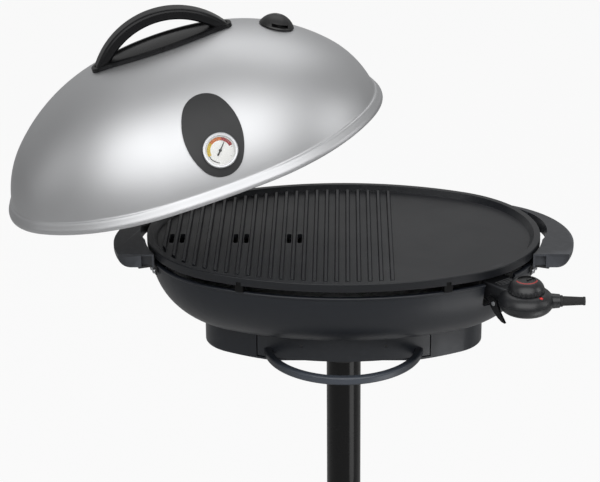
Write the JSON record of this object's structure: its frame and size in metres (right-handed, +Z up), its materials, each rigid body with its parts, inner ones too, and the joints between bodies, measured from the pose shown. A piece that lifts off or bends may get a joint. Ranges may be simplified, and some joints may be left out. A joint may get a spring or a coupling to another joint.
{
  "type": "pedestal electric grill",
  "caption": "Oval electric grill on a round pedestal stand, with a domed lift-off lid held open above it, a pull-out drip tray and a plug-in thermostat.",
  "frame": {"origin": "on the floor, on the axis of the pole, under the middle of the oval plate", "axes": "+Z up, +X to the right along the oval's long axis as seen from the front, -Y towards the front, where the tray pulls out"},
  "size_m": [0.808, 0.4824, 1.1804],
  "materials": {
    "base_sheet": "black zinc",
    "bezel": "polished",
    "bowl": "fine grained dark charcoal",
    "bracket": "black",
    "contact": "plain",
    "coupler": "black moulded",
    "cover": "textured black",
    "dial": "white with a coloured arc",
    "element": "heat darkened sheath",
    "gauge_plate": "dark grey",
    "handle": "fine grained dark grey",
    "indicator": "red",
    "knob": "black ribbed",
    "lens": "clear",
    "lever": "black",
    "lid": "satin silver",
    "lid_handle": "black",
    "liner": "bright rolled sheet",
    "needle": "black",
    "plate": "cast, coated with dark non-stick",
    "plug_shell": "fine grained black",
    "pole": "gloss black",
    "ring": "red",
    "rubber": "soft black",
    "screw": "zinc plated",
    "socket": "heat proof moulding",
    "stem": "plain",
    "switch": "brown moulding",
    "tray": "satin pressed sheet",
    "tray_front": "fine grained dark charcoal",
    "vent": "black",
    "weight": "raw casting"
  },
  "bodies": {
    "base": {"base_bowl": "bowl", "reflector_liner": "liner", "foot_ring": "bowl", "foot_screws": "screw", "pole_socket": "coupler", "socket_screws": "screw", "pole_screws": "screw", "pole_upper": "pole", "pole_coupler": "coupler", "pole_lower": "pole", "base_cover": "cover", "base_weight": "weight", "base_plate": "base_sheet", "base_bolt": "screw", "pole_plug": "weight", "rubber_feet": "rubber", "left_handle": "handle", "right_handle": "handle", "handle_brackets": "bracket", "handle_screws": "screw", "plate_supports": "socket"},
    "cooking_plate": {"grill_plate": "plate", "heating_element": "element", "element_clips": "screw", "plug_socket": "socket", "terminal_pins": "contact", "plug_socket_screws": "screw"},
    "lid": {"lid_shell": "lid", "lid_handle": "lid_handle", "lid_handle_screws": "screw", "gauge_plate": "gauge_plate", "gauge_case": "bezel", "gauge_dial": "dial", "gauge_glass": "lens", "gauge_stem": "stem", "gauge_nut": "screw", "vent_rivet": "screw"},
    "needle": {"gauge_needle": "needle"},
    "vent": {"vent_cap": "vent"},
    "plug": {"plug_top": "plug_shell", "plug_bottom": "plug_shell", "contact_sleeves": "contact", "probe_rod": "stem", "thermostat_switch": "switch", "indicator_lens": "indicator", "plug_screws": "screw", "strain_relief": "rubber", "lever_pin": "screw"},
    "lever": {"release_lever": "lever"},
    "knob": {"control_knob": "knob", "knob_ring": "ring", "knob_shaft": "stem"},
    "tray": {"drip_tray": "tray", "tray_front": "tray_front", "tray_rivets": "screw"}
  },
  "joints": [
    {"name": "plate_lift", "type": "slide", "parent": "base", "child": "cooking_plate", "axis": [0, 0, 1], "range_m": [0, 0.06]},
    {"name": "lid_lower", "type": "hinge", "parent": "cooking_plate", "child": "lid", "pos_m": [-0.472, 0, 0.164], "axis": [-0.1351, 0.7586, -0.6374], "range_deg": [0, 20.5]},
    {"name": "needle_turn", "type": "hinge", "parent": "lid", "child": "needle", "pos_m": [-0.16673, -0.11781, 1.02433], "axis": [0.1075, -0.924, 0.3669], "range_deg": [-92, 178]},
    {"name": "vent_turn", "type": "hinge", "parent": "lid", "child": "vent", "pos_m": [-0.09473, 0.07225, 1.14338], "axis": [0.197, 0.0297, 0.98], "range_deg": [0, 45]},
    {"name": "plug_pull", "type": "slide", "parent": "cooking_plate", "child": "plug", "axis": [0.6428, -0.766, 0], "range_m": [0, 0.08]},
    {"name": "lever_squeeze", "type": "hinge", "parent": "plug", "child": "lever", "pos_m": [0.20705, -0.15396, 0.815], "axis": [-0.766, -0.6428, 0], "range_deg": [0, 12], "stiffness_Nm_per_rad": 0.15},
    {"name": "knob_turn", "type": "hinge", "parent": "plug", "child": "knob", "pos_m": [0.2487, -0.1647, 0.8385], "axis": [0, 0, -1], "range_deg": [0, 270]},
    {"name": "tray_pull", "type": "slide", "parent": "base", "child": "tray", "axis": [0, -1, 0], "range_m": [0, 0.15]}
  ]
}
